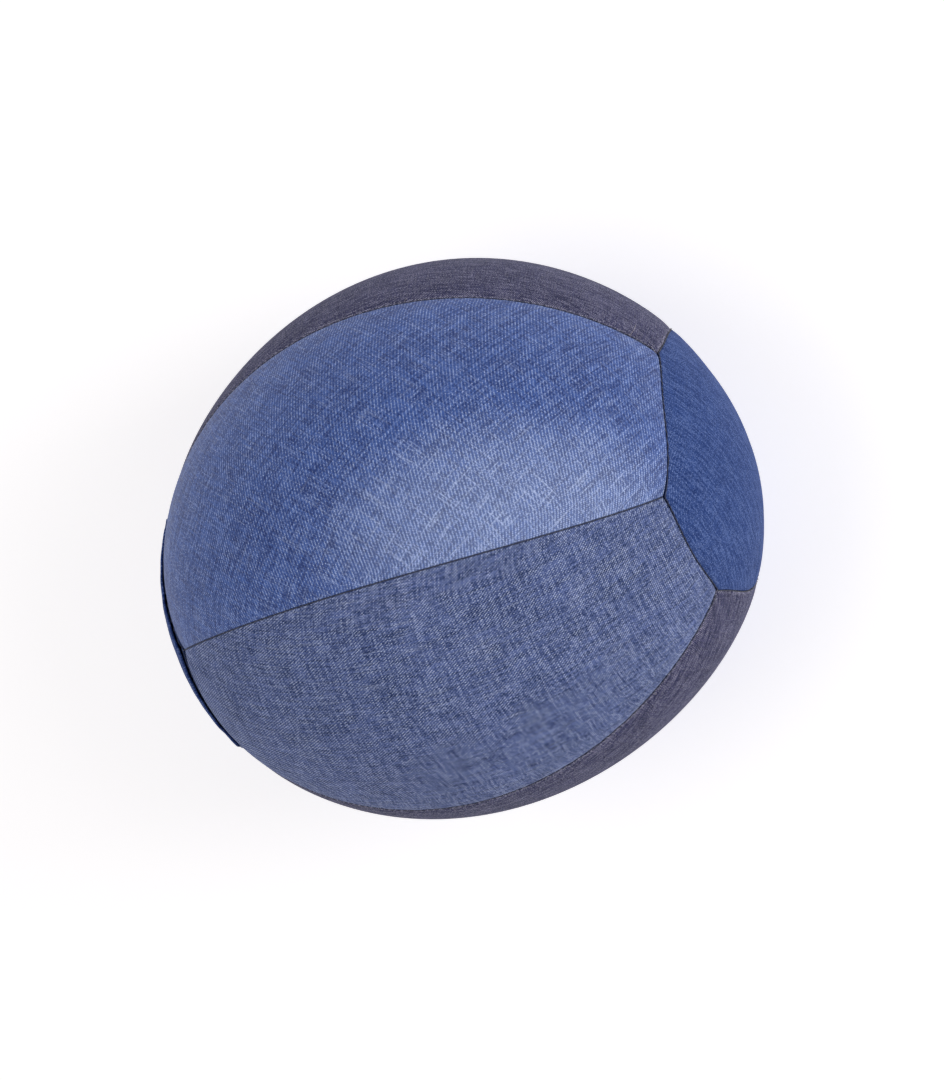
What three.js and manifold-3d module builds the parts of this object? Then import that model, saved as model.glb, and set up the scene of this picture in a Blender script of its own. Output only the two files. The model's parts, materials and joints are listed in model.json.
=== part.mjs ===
// A balloon ball for juggling and play: a sewn denim cover over an inflated party balloon.
// Millimetres, +Z up, origin at the ball's centre. The ball lies on its side: its long axis is X,
// the plain hexagonal end is at +X and the end with the balloon's way in is at -X.
// Angle 0 round the axis points to -Y and 90 degrees to +Z. A long panel's middle is at angle 0
// and a seam runs along the top. Left and right are meant looking along +X.

import * as THREE from 'three';
import Module from 'manifold-3d';
import { mergeVertices } from 'three/addons/utils/BufferGeometryUtils.js';

const wasm = await Module();
wasm.setup();

// ---- driving dimensions ----

const EQUATOR_RADIUS = 115;      // round the middle, outside the cloth
const POLE_REACH = 131;          // where the long panels' ellipse would meet the axis
const END_FLATNESS = 2;          // the crowned end pieces stop this far short of that
const PANEL_COUNT = 6;
const END_CORNER_RADIUS = 63;    // the hexagonal end piece, centre to corner
const END_SIDE_BOW = 3;          // its sides are pressed outward by this much

const CLOTH = 1.0;               // denim, about 400 g per square metre
const SEAM_GAP = 0.3;            // between two edges that are sewn together
const END_SEAM_GAP = 0.6;
const FOLD_GAP = 0.2;            // between a turned-in edge and the cloth that it lies on
const SEAM_ALLOWANCE = 8;        // width of the turned-in edges
const SEAM_ROUND = 0.8;          // how far an edge rounds off into its seam
const LIP_HEM = 10;              // hem along each lip of the slit

const THREAD_RADIUS = 0.16;
const THREAD_DEPTH = 0.3;        // the thread's centre lies this far below the cloth's face
const THREAD_END = 2.5;          // a long seam's thread stops this far from the corner
const THREAD_SIDES = 5;

const TAPE = 0.7;                // hook tape and loop tape, each
const TAPE_GAP = 0.25;           // left on both sides of each tape
const TAPE_LENGTH = 50;
const TAPE_WIDTH = 16;
const TAPE_OFF_CENTRE = 20;       // towards the flap's free side
const FLAP_INSET = 1.0;          // the flap is cut this much smaller than the end
const FLAP_RIM_GAP = 0.9;        // its rim lies this close to the end piece, and clears it as it folds
const FLAP_MARGIN = 7;           // sewn-down strip beside the line where it folds

const BALLOON_WALL = 0.3;
const BALLOON_GAP = 0.6;         // to the turned-in edges
const DIMPLE_DEPTH = 20;         // the knotted neck sits in a dimple of the balloon
const DIMPLE_RADIUS = 26;
const NECK_RADIUS = 4;
const NECK_LENGTH = 10;
const KNOT_RADIUS = 2.2;

const STATIONS = 15;             // steps along a long panel
const STEPS_ROUND = 24;          // steps round an end piece, a multiple of PANEL_COUNT

// ---- the outer surface ----

const PANEL_ANGLE = (2 * Math.PI) / PANEL_COUNT;
const END_REACH = POLE_REACH - END_FLATNESS;
const NORMAL_SQUEEZE = (EQUATOR_RADIUS / POLE_REACH) ** 2;
const ALLOWANCE_DEPTH = 2 * CLOTH + FOLD_GAP;
const FLAP_MIDDLE_LIFT = 2 * TAPE + 4 * TAPE_GAP;

// The radius of the hexagonal end's edge: straight sides plus their bow.
function endRadius(angle) {
  const fromSideMiddle = angle - PANEL_ANGLE * Math.round(angle / PANEL_ANGLE);
  const straight = END_CORNER_RADIUS * Math.cos(PANEL_ANGLE / 2) / Math.cos(fromSideMiddle);
  return straight + END_SIDE_BOW * Math.cos(fromSideMiddle * Math.PI / PANEL_ANGLE);
}

// The ellipse's parameter where the long panels meet the end piece.
function endParameter(angle) {
  return Math.asin(endRadius(angle) / EQUATOR_RADIUS);
}

// A point at a depth below a surface point, along the ellipse family's normal.
function sink(x, radius, angle, depth) {
  const point = new THREE.Vector3(x, -radius * Math.cos(angle), radius * Math.sin(angle));
  const normal = new THREE.Vector3(x * NORMAL_SQUEEZE, point.y, point.z).normalize();
  return point.addScaledVector(normal, -depth);
}

function panelPoint(parameter, angle, depth) {
  return sink(POLE_REACH * Math.cos(parameter), EQUATOR_RADIUS * Math.sin(parameter), angle, depth);
}

// side is +1 or -1. The end piece is a low crown that rises as the square of the way to its edge.
function endPoint(side, radius, angle, depth) {
  const edge = endRadius(angle);
  const edgeReach = POLE_REACH * Math.cos(endParameter(angle));
  const reach = END_REACH - (END_REACH - edgeReach) * (radius / edge) ** 2;
  return sink(side * reach, radius, angle, depth);
}

// ---- solids ----

// A closed geometry from points and triangles, turned right side out.
function closed(points, triangles) {
  const volume = triangles.reduce((sum, [a, b, c]) =>
    sum + points[a].dot(points[b].clone().cross(points[c])), 0);
  const facing = volume < 0 ? triangles.map(([a, b, c]) => [a, c, b]) : triangles;
  const geometry = new THREE.BufferGeometry().setFromPoints(points);
  geometry.setIndex(facing.flat());
  return geometry;
}

// Joins each loop of points to the next with two triangles to a step.
function bridge(loops, wrapAround, wrapAlong) {
  const size = loops[0].length;
  const triangles = [];
  for (let i = 0; i < loops.length - (wrapAlong ? 0 : 1); i++) {
    const next = (i + 1) % loops.length;
    for (let j = 0; j < size - (wrapAround ? 0 : 1); j++) {
      const side = (j + 1) % size;
      triangles.push([i * size + j, next * size + j, next * size + side]);
      triangles.push([i * size + j, next * size + side, i * size + side]);
    }
  }
  return triangles;
}

// Equal sections in a row. Both ends are closed region by region, each a list of the flat
// section's points in order, so that no long triangle cuts across a curved end.
function sweep(sections, flatSection, regions) {
  const last = (sections.length - 1) * flatSection.length;
  const triangles = bridge(sections, true, false);
  for (const region of regions) {
    const outline = region.map((i) => flatSection[i]);
    const turn = THREE.ShapeUtils.area(outline) > 0;
    for (const corners of THREE.ShapeUtils.triangulateShape(outline, [])) {
      const [a, b, c] = (turn ? corners : corners.toReversed()).map((i) => region[i]);
      triangles.push([a, b, c], [last + a, last + c, last + b]);
    }
  }
  return closed(sections.flat(), triangles);
}

// A profile carried round the axis: pointAt(step, angle), whose first and last steps are on the axis.
function turned(count, pointAt) {
  const rows = [];
  for (let i = 0; i < STEPS_ROUND; i++) {
    const angle = (i * 2 * Math.PI) / STEPS_ROUND;
    rows.push(Array.from({ length: count }, (_, step) => pointAt(step, angle)));
  }
  const geometry = new THREE.BufferGeometry().setFromPoints(rows.flat());
  geometry.setIndex(bridge(rows, false, true).flat());
  const merged = mergeVertices(geometry, 1e-5);
  const position = merged.getAttribute('position');
  const points = Array.from({ length: position.count }, (_, i) =>
    new THREE.Vector3().fromBufferAttribute(position, i));
  const index = Array.from(merged.getIndex().array);
  const triangles = [];
  for (let i = 0; i < index.length; i += 3) {
    const [a, b, c] = index.slice(i, i + 3);
    if (a !== b && b !== c && c !== a) triangles.push([a, b, c]);
  }
  return closed(points, triangles);
}

function toSolid(geometry) {
  const bare = geometry.clone();
  bare.deleteAttribute('normal');
  bare.deleteAttribute('uv');
  const merged = mergeVertices(bare, 1e-5);
  return new wasm.Manifold(new wasm.Mesh({
    numProp: 3,
    vertProperties: new Float32Array(merged.getAttribute('position').array),
    triVerts: new Uint32Array(merged.getIndex().array),
  }));
}

function toGeometry(solid) {
  const mesh = solid.getMesh();
  const geometry = new THREE.BufferGeometry();
  geometry.setAttribute('position', new THREE.BufferAttribute(mesh.vertProperties, 3));
  geometry.setIndex(new THREE.BufferAttribute(mesh.triVerts, 1));
  return geometry;
}

function block(low, high) {
  const size = new THREE.Vector3().subVectors(high, low);
  const middle = new THREE.Vector3().addVectors(high, low).multiplyScalar(0.5);
  return toSolid(new THREE.BoxGeometry(size.x, size.y, size.z).translate(...middle));
}

// ---- the pieces ----

const OUTSIDE = 2 * POLE_REACH;
const ball = new THREE.Group();

function add(name, geometry, colour, roughness = 0.9) {
  const mesh = new THREE.Mesh(geometry, new THREE.MeshStandardMaterial({ color: colour, roughness }));
  mesh.name = name;
  geometry.computeVertexNormals();
  ball.add(mesh);
}

// Where a long panel's face is creased lengthwise, as shares of its width inside the allowances.
const PANEL_SHARES = [-1, -0.5, 0, 0.5, 1];

// A long panel's section: the outer face, both rounded edges, both turned-in allowances and the
// inner face. Each entry is the way in from the edge, its side, and the depth; a null way in is
// a share of the width inside the allowances.
function panelSection() {
  const turnIn = (side) => [
    { side, inset: SEAM_ALLOWANCE, depth: CLOTH },
    { side, inset: CLOTH, depth: CLOTH },
    { side, inset: CLOTH, depth: CLOTH + FOLD_GAP },
    { side, inset: SEAM_ALLOWANCE, depth: CLOTH + FOLD_GAP },
    { side, inset: SEAM_ALLOWANCE, depth: ALLOWANCE_DEPTH },
    { side, inset: 0, depth: ALLOWANCE_DEPTH },
    { side, inset: 0, depth: SEAM_ROUND },
    { side, inset: SEAM_ROUND, depth: 0 },
  ];
  const outer = PANEL_SHARES.map((share) => ({ share, depth: 0 }));
  const inner = PANEL_SHARES.slice(1, -1).reverse().map((share) => ({ share, depth: CLOTH }));
  const entries = [...outer, ...turnIn(1).reverse(), ...inner, ...turnIn(-1)];
  // The section's regions: a quad under each step of the outer face, and the two edges.
  const size = entries.length;
  const edgeSize = turnIn(1).length;
  const underneath = (i) => (2 * PANEL_SHARES.length - 2 + edgeSize - i) % size;
  const quads = outer.slice(1).map((_, i) => [i, i + 1, underneath(i + 1), underneath(i)]);
  const edges = [PANEL_SHARES.length - 1, size - edgeSize].map((from) =>
    Array.from({ length: edgeSize + 1 }, (_, i) => (from + i) % size));
  return { entries, regions: [...quads, ...edges] };
}

// The parameter of a station between the two ends of the panel, way running from 0 to 1.
function stationParameter(angle, way, trim) {
  const start = endParameter(angle);
  const arc = Math.hypot(EQUATOR_RADIUS * Math.cos(start), POLE_REACH * Math.sin(start));
  const trimmed = start + trim / arc;
  return trimmed + (Math.PI - 2 * trimmed) * way;
}

function panelGeometry(index) {
  const middle = PANEL_ANGLE * index;
  const { entries, regions } = panelSection();
  const across = (entry, radius) => {
    const edge = PANEL_ANGLE / 2 - SEAM_GAP / 2 / radius;
    if (entry.share !== undefined) return entry.share * (edge - SEAM_ALLOWANCE / radius);
    return entry.side * (edge - entry.inset / radius);
  };
  // The first and last stations are sunk to round the panel's ends off into the end seams.
  const stations = [{ way: 0, trim: END_SEAM_GAP / 2, least: SEAM_ROUND }];
  for (let i = 0; i <= STATIONS; i++) {
    stations.push({ way: i / STATIONS, trim: END_SEAM_GAP / 2 + SEAM_ROUND, least: 0 });
  }
  stations.push({ way: 1, trim: END_SEAM_GAP / 2, least: SEAM_ROUND });
  const seamRadius = ({ way, trim }) =>
    EQUATOR_RADIUS * Math.sin(stationParameter(middle + PANEL_ANGLE / 2, way, trim));
  const sections = stations.map((station) => entries.map((entry) => {
    const angle = middle + across(entry, seamRadius(station));
    const depth = Math.max(entry.depth, station.least);
    return panelPoint(stationParameter(angle, station.way, station.trim), angle, depth);
  }));
  const flat = entries.map((entry) =>
    new THREE.Vector2(across(entry, END_CORNER_RADIUS) * END_CORNER_RADIUS, -entry.depth));
  return sweep(sections, flat, regions);
}

// Where an end piece's face is creased across, as shares of its radius inside the allowance.
const END_SHARES = [0, 0.4, 0.75];

// An end piece with its edge turned in, as steps from the axis out and back.
function endGeometry(side) {
  const edge = (angle, inset) => endRadius(angle) - END_SEAM_GAP / 2 - inset;
  const steps = [
    ...END_SHARES.map((share) => ({ share, depth: 0 })),
    { inset: SEAM_ALLOWANCE, depth: 0 },
    { inset: SEAM_ROUND, depth: 0 },
    { inset: 0, depth: SEAM_ROUND },
    { inset: 0, depth: ALLOWANCE_DEPTH },
    { inset: SEAM_ALLOWANCE, depth: ALLOWANCE_DEPTH },
    { inset: SEAM_ALLOWANCE, depth: CLOTH + FOLD_GAP },
    { inset: CLOTH, depth: CLOTH + FOLD_GAP },
    { inset: CLOTH, depth: CLOTH },
    { inset: SEAM_ALLOWANCE, depth: CLOTH },
    ...END_SHARES.toReversed().map((share) => ({ share, depth: CLOTH })),
  ];
  return turned(steps.length, (step, angle) => {
    const { share, inset, depth } = steps[step];
    const radius = share === undefined ? edge(angle, inset) : share * edge(angle, SEAM_ALLOWANCE);
    return endPoint(side, radius, angle, depth);
  });
}

// A layer of cloth or tape that follows an end piece between two depths, which may vary outward.
function endLayer(side, inset, topDepth, bottomDepth) {
  const shares = [0, 0.35, 0.65, 0.85, 1];
  const steps = [...shares.map((share) => ({ share, depth: topDepth })),
    ...shares.toReversed().map((share) => ({ share, depth: bottomDepth }))];
  return turned(steps.length, (step, angle) => {
    const { share, depth } = steps[step];
    return endPoint(side, share * (endRadius(angle) - inset), angle, depth(share));
  });
}

// The six long panels, charcoal, grey blue and mid blue denim.
const PANELS = [
  { name: 'panel_right', colour: 0x5f5f74 },
  { name: 'panel_upper_right', colour: 0x5c6a90 },
  { name: 'panel_upper_left', colour: 0x55659a },
  { name: 'panel_left', colour: 0x585a78 },
  { name: 'panel_lower_left', colour: 0x5b6a8e },
  { name: 'panel_lower_right', colour: 0x55659a },
];
PANELS.forEach(({ name, colour }, index) => add(name, panelGeometry(index), colour));

// The plain end piece, and the two halves of the other one, whose hemmed lips meet in a slit.
const END_BLUE = 0x43558a;
add('end_cap', endGeometry(1), END_BLUE);

const hemBand = block(
  new THREE.Vector3(-OUTSIDE, -LIP_HEM, -END_CORNER_RADIUS),
  new THREE.Vector3(0, LIP_HEM, END_CORNER_RADIUS));
const hemLayer = toSolid(endLayer(-1, SEAM_ALLOWANCE, () => CLOTH / 2, () => 2 * CLOTH));
const slitEnd = toSolid(endGeometry(-1)).add(hemLayer.intersect(hemBand));
for (const [name, left] of [['slit_end_left', 1], ['slit_end_right', -1]]) {
  const lip = left * SEAM_GAP / 2;
  const half = block(
    new THREE.Vector3(-OUTSIDE, left > 0 ? lip : -OUTSIDE, -OUTSIDE),
    new THREE.Vector3(0, left > 0 ? OUTSIDE : lip, OUTSIDE));
  add(name, toGeometry(slitEnd.intersect(half)), END_BLUE);
}

// The hexagonal flap over the slit: a strip that is sewn down at -Y, and the part that folds open.
const flapLift = (share) => FLAP_RIM_GAP + (FLAP_MIDDLE_LIFT - FLAP_RIM_GAP) * (1 - share ** 6);
const flapTopFace = (share) => -flapLift(share) - CLOTH;
const flapWhole = toSolid(endLayer(-1, FLAP_INSET, flapTopFace, (share) => -flapLift(share)));
const FLAP_FOLD_Y = -(endRadius(0) - FLAP_INSET - FLAP_MARGIN);
const flapParts = [
  ['flap_sewn_strip', -OUTSIDE, FLAP_FOLD_Y - SEAM_GAP / 2],
  ['flap', FLAP_FOLD_Y + SEAM_GAP / 2, OUTSIDE],
];
for (const [name, low, high] of flapParts) {
  const slice = block(new THREE.Vector3(-OUTSIDE, low, -OUTSIDE), new THREE.Vector3(0, high, OUTSIDE));
  add(name, toGeometry(flapWhole.intersect(slice)), END_BLUE);
}

// Loop tape on the left half of the slit end, and hook tape on the flap's inner face over it.
const tapeWindow = block(
  new THREE.Vector3(-OUTSIDE, TAPE_OFF_CENTRE - TAPE_WIDTH / 2, -TAPE_LENGTH / 2),
  new THREE.Vector3(0, TAPE_OFF_CENTRE + TAPE_WIDTH / 2, TAPE_LENGTH / 2));
for (const [name, base] of [['loop_tape', TAPE_GAP], ['hook_tape', 2 * TAPE_GAP + TAPE]]) {
  const layer = toSolid(endLayer(-1, SEAM_ALLOWANCE, () => -base - TAPE, () => -base));
  add(name, toGeometry(layer.intersect(tapeWindow)), 0x2b3148, 0.8);
}

// A thread: a round section carried along centre points, with its two cross directions given.
function threadRing(centre, across, outward) {
  return Array.from({ length: THREAD_SIDES }, (_, i) => {
    const turn = (i * 2 * Math.PI) / THREAD_SIDES;
    return centre.clone()
      .addScaledVector(across, THREAD_RADIUS * Math.cos(turn))
      .addScaledVector(outward, THREAD_RADIUS * Math.sin(turn));
  });
}

const THREAD_SECTION = Array.from({ length: THREAD_SIDES }, (_, i) => {
  const turn = (i * 2 * Math.PI) / THREAD_SIDES;
  return new THREE.Vector2(Math.cos(turn), Math.sin(turn));
});
const THREAD_COLOUR = 0x2c3350;

// One thread lies in the groove of each long seam.
for (let seam = 0; seam < PANEL_COUNT; seam++) {
  const angle = PANEL_ANGLE * (seam + 0.5);
  const across = new THREE.Vector3(0, Math.sin(angle), Math.cos(angle));
  const rings = Array.from({ length: STATIONS + 1 }, (_, i) => {
    const trim = END_SEAM_GAP / 2 + SEAM_ROUND;
    const first = stationParameter(angle, 0, THREAD_END);
    const parameter = THREE.MathUtils.clamp(
      stationParameter(angle, i / STATIONS, trim), first, Math.PI - first);
    const centre = panelPoint(parameter, angle, THREAD_DEPTH);
    return threadRing(centre, across, centre.clone().normalize());
  });
  const thread = sweep(rings, THREAD_SECTION, [THREAD_SECTION.map((_, i) => i)]);
  add(`long_seam_thread_${seam + 1}`, thread, THREAD_COLOUR, 0.6);
}

// One thread runs round each end seam, with its bends where the long panels have theirs.
const halfInside = PANEL_ANGLE / 2 - (SEAM_GAP / 2 + SEAM_ALLOWANCE) / END_CORNER_RADIUS;
const threadAngles = Array.from({ length: PANEL_COUNT }, (_, index) => [
  ...PANEL_SHARES.map((share) => PANEL_ANGLE * index + share * halfInside),
  PANEL_ANGLE * (index + 0.5),
]).flat();
for (const [name, side] of [['end_cap_thread', 1], ['slit_end_thread', -1]]) {
  const rings = threadAngles.map((angle) => {
    const centre = endPoint(side, endRadius(angle), angle, THREAD_DEPTH);
    const radial = new THREE.Vector3(0, -Math.cos(angle), Math.sin(angle));
    return threadRing(centre, radial, new THREE.Vector3(1, 0, 0));
  });
  add(name, closed(rings.flat(), bridge(rings, true, true)), THREAD_COLOUR, 0.6);
}

// ---- the balloon inside ----

// Its skin follows the cover inside the turned-in edges. At -X it dips to a dimple, and the neck
// stands up in the dimple with its mouth open to the outside.
const BALLOON_DEPTH = ALLOWANCE_DEPTH + BALLOON_GAP;
const DIMPLE_FLOOR = -(END_REACH - BALLOON_DEPTH - DIMPLE_DEPTH);

function balloonGeometry() {
  const cornerAngle = PANEL_ANGLE / 2;
  const corner = endParameter(cornerAngle);
  const onEnd = (side, share) => (below) =>
    endPoint(side, share * END_CORNER_RADIUS, cornerAngle, BALLOON_DEPTH + below);
  const onBody = (way) => (below) =>
    panelPoint(corner + (Math.PI - 2 * corner) * way, cornerAngle, BALLOON_DEPTH + below);
  const skin = [
    ...[0, 0.35, 0.7].map((share) => onEnd(1, share)),
    ...Array.from({ length: STATIONS }, (_, i) => onBody(i / (STATIONS - 1))),
    ...[0.75, DIMPLE_RADIUS / END_CORNER_RADIUS].map((share) => onEnd(-1, share)),
  ].map((face) => [face(0), face(BALLOON_WALL)].map((p) => [p.x, Math.hypot(p.y, p.z)]));
  const neck = [
    [DIMPLE_FLOOR - 0.35 * DIMPLE_DEPTH, 0.62 * DIMPLE_RADIUS, 1],
    [DIMPLE_FLOOR, 2 * NECK_RADIUS, 1],
    [DIMPLE_FLOOR - KNOT_RADIUS, NECK_RADIUS, 0],
    [DIMPLE_FLOOR - NECK_LENGTH, NECK_RADIUS, 0],
  ].map(([x, radius, floor]) =>
    [[x, radius], [x + floor * BALLOON_WALL, radius - (1 - floor) * BALLOON_WALL]]);
  const sides = [...skin, ...neck];
  const profile = [...sides.map(([outer]) => outer), ...sides.map(([, inner]) => inner).reverse()];
  return turned(profile.length, (step, angle) => {
    const [x, radius] = profile[step];
    return new THREE.Vector3(x, -radius * Math.cos(angle), radius * Math.sin(angle));
  });
}

add('balloon', balloonGeometry(), 0xb9c2cc, 0.4);

const knotX = DIMPLE_FLOOR - NECK_LENGTH / 2 - KNOT_RADIUS;
const knotRing = new THREE.TorusGeometry(NECK_RADIUS + KNOT_RADIUS + SEAM_GAP, KNOT_RADIUS, 8, STEPS_ROUND);
knotRing.rotateY(Math.PI / 2).translate(knotX, 0, 0);
add('balloon_knot', toGeometry(toSolid(knotRing)), 0xb9c2cc, 0.4);

export default ball;
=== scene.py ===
"""A balloon ball for juggling: six long denim panels and two hexagonal ends sewn over a balloon.

The script follows the ball as it is put together: the place it is seen from, the six long panels,
the plain end, the end with the slit, the flap and its tapes, the seams' threads, and the balloon.
"""

import json
import math

import bmesh
import bpy
import numpy as np
from mathutils import Matrix, Vector


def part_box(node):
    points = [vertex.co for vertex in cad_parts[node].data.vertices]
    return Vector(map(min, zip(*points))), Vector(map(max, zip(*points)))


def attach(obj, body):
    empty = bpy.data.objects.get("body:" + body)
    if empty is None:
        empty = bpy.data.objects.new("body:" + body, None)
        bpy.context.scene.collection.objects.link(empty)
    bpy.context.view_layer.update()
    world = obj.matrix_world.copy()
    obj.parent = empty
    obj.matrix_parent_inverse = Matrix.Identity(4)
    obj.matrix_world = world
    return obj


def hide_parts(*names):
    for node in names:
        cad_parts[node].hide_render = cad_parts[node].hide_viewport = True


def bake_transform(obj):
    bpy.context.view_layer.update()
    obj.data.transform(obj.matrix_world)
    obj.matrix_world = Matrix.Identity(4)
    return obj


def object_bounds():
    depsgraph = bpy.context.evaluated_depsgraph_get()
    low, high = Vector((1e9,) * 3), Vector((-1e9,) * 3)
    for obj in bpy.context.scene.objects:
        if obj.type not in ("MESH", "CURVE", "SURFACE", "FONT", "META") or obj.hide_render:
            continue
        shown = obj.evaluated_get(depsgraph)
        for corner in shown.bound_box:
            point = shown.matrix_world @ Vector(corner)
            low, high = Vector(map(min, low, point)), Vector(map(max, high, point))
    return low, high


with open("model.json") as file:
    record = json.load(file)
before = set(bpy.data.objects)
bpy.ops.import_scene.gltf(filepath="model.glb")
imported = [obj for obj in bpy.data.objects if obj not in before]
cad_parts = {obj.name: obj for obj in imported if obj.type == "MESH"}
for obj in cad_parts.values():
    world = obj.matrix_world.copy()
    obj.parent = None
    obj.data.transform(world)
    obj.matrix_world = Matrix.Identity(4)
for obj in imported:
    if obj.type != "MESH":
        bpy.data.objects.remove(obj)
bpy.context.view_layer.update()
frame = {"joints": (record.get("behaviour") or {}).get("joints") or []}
MM = 0.001

# ---------------------------------------------------------------------------------------------
# The view: the ball lies on a white table and is seen from above, from a little towards its
# plain end. One large soft light stands by the camera and white surroundings fill the rest.

VIEW_DISTANCE = 0.9
VIEW_TURN = math.radians(19.42)      # towards the plain end
VIEW_SPIN = math.radians(-0.9)
VIEW_ROLL = math.radians(20.58)
VIEW_WIDTH = 0.4009                  # what the frame takes in across the ball's centre
VIEW_SHIFT = (0.0140, -0.0064)
SENSOR = 36.0

camera = bpy.data.objects.new("camera", bpy.data.cameras.new("camera"))
bpy.context.scene.collection.objects.link(camera)
view_turn = (
    Matrix.Rotation(-VIEW_SPIN, 4, "X")
    @ Matrix.Rotation(VIEW_TURN, 4, "Y")
    @ Matrix.Rotation(-VIEW_ROLL, 4, "Z")
)
camera.matrix_world = view_turn @ Matrix.Translation((0, 0, VIEW_DISTANCE))
camera.data.sensor_fit = "HORIZONTAL"
camera.data.sensor_width = SENSOR
camera.data.lens = SENSOR * VIEW_DISTANCE / VIEW_WIDTH
camera.data.shift_x, camera.data.shift_y = VIEW_SHIFT
camera.data.clip_start = 0.01
bpy.context.scene.camera = camera
bpy.context.scene.view_settings.view_transform = "Standard"


def soft_light(name, direction, along, distance, size, watts, colour):
    """An oblong area light that looks at the ball. direction and along, the way its long side
    runs, are in the camera's right, up and back."""
    data = bpy.data.lights.new(name, "AREA")
    data.shape, data.energy, data.color = "RECTANGLE", watts, colour
    data.size, data.size_y = size
    lamp = bpy.data.objects.new(name, data)
    bpy.context.scene.collection.objects.link(lamp)
    back = (view_turn.to_3x3() @ Vector(direction)).normalized()
    up = back.cross(view_turn.to_3x3() @ Vector(along)).normalized()
    turn = Matrix((up.cross(back), up, back)).transposed().to_4x4()
    lamp.matrix_world = Matrix.Translation(back * distance) @ turn


LAMP_COLOUR = (1.0, 0.99, 0.98)
ROOM_COLOUR = (1.0, 0.985, 0.99, 1)
ROOM_STRENGTH = 0.44
soft_light("long_light", (0.58, 0.17, 0.78), (0.95, 0.30, 0), 1.2, (0.9, 0.40), 5.0, LAMP_COLOUR)
soft_light("light_by_camera", (-0.62, -0.12, 0.8), (1, 0, 0), 1.5, (0.9, 0.9), 4.2, LAMP_COLOUR)

world = bpy.data.worlds.new("white_room")
world.use_nodes = True
background = world.node_tree.nodes["Background"]
background.inputs["Color"].default_value = ROOM_COLOUR
background.inputs["Strength"].default_value = ROOM_STRENGTH
bpy.context.scene.world = world

# ---------------------------------------------------------------------------------------------
# The six long panels: medium-weight denim, cut as pointed ovals with their ends cut off, sewn
# edge to edge face inwards and turned out, so each seam is a groove with its allowances inside.

EQUATOR = 115.0                 # millimetres, as all lengths up to the meshes
REACH = 131.0                   # the long panels' ellipse would meet the axis here
END_REACH = {1: 129.0, -1: 126.2}
SEAMS = 6
STEP = 2 * math.pi / SEAMS
NORMAL_SQUEEZE = (EQUATOR / REACH) ** 2
CLOTH = 1.0
SEAM_GAP = 0.12
END_SEAM_GAP = 0.2
ALLOWANCE = 8.0
FOLD_GAP = 0.2
ALLOWANCE_DEPTH = 2 * CLOTH + FOLD_GAP

# A cover sewn by hand is never regular. CORNERS are each end's corner radii, from the corner at
# -30 degrees round by sixths, and BOWS how far the side after each is bowed. WANDER is how far
# each seam wanders, in degrees, at the plain end, in the middle and at the slit end.
CORNERS = {1: (63.0, 66.2, 66.9, 54.0, 63.5, 63.0), -1: (62.0, 61.5, 63.5, 64.0, 62.0, 64.0)}
BOWS = {1: (6.0, 4.8, 5.6, 3.0, 3.0, 3.0), -1: (3.0, 3.0, 3.0, 3.0, 3.0, 3.0)}
WANDER = ((0, 0, 0), (6.1, -0.2, 9.0), (-9.9, -3.9, -1.9), (-3.4, 1.4, -1.0), (0, 0, 0), (0, 0, 0))
EGG, BARREL = -0.0089, -0.0257
OVAL = (-0.0064, -0.0542)
BEND = (-5.9, 1.3)


def lay_out(x, y, z):
    """The regular ball pressed into its own slightly uneven shape: radius times
    1 + egg t + barrel (t^2 - 1/3) + oval, with t = x / reach, and the axis bent by t^2."""
    t = x / REACH
    swell = 1 + EGG * t + BARREL * (t * t - 1 / 3)
    y, z = y * swell, z * swell
    oval = 1 + (OVAL[0] * (y * y - z * z) + 2 * OVAL[1] * y * z) / EQUATOR**2
    return np.stack([x, y * oval + BEND[0] * t * t, z * oval + BEND[1] * t * t], -1)


def sink(x, radius, angle, depth):
    """A point below the regular surface, along (x (equator / reach)^2, y, z)."""
    y, z = -radius * np.cos(angle), radius * np.sin(angle)
    length = np.sqrt((x * NORMAL_SQUEEZE) ** 2 + radius**2)
    return lay_out(x - depth * x * NORMAL_SQUEEZE / length, y - depth * y / length,
                   z - depth * z / length)


def seam_angle(seam, way):
    """Seam number seam lies at (seam - 1/2) sixths plus its wander, a parabola through three."""
    first, middle, last = np.radians(WANDER[seam % SEAMS])
    bow = (first * (1 - way) * (1 - 2 * way) + 4 * middle * way * (1 - way)
           + last * way * (2 * way - 1))
    return (seam - 0.5) * STEP + bow


def corner_angles(side):
    """The end's corner angles, where the seams come in, and one more to close the round."""
    way = 0.0 if side > 0 else 1.0
    angles = [seam_angle(seam, way) for seam in range(SEAMS)]
    return np.array(angles + [angles[0] + 2 * math.pi])


def end_radius(side, angle):
    """The hexagon's edge: a straight line between two corners, pressed out by a cosine bow."""
    angles = corner_angles(side)
    radii = np.array(CORNERS[side] + CORNERS[side][:1])
    turn = (np.asarray(angle) - angles[0]) % (2 * math.pi) + angles[0]
    i = np.clip(np.searchsorted(angles, turn, side="right") - 1, 0, SEAMS - 1)
    a, b, r, s = angles[i], angles[i + 1], radii[i], radii[i + 1]
    straight = r * s * np.sin(b - a) / (r * np.sin(turn - a) + s * np.sin(b - turn))
    return straight + np.array(BOWS[side])[i] * np.sin(math.pi * (turn - a) / (b - a))


def end_parameter(side, angle):
    """The ellipse's parameter where the long panels stop."""
    return np.arcsin(end_radius(side, angle) / EQUATOR)


def panel_point(way, angle, depth, trim=0.0):
    """way runs from 0 at the plain end to 1 at the slit end, along equal steps of the ellipse's
    parameter; trim holds the ends back from the end seams by that many millimetres."""
    first = end_parameter(1, angle) + trim / REACH
    last = math.pi - end_parameter(-1, angle) - trim / REACH
    parameter = first + (last - first) * way
    return sink(REACH * np.cos(parameter), EQUATOR * np.sin(parameter), angle, depth)


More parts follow.
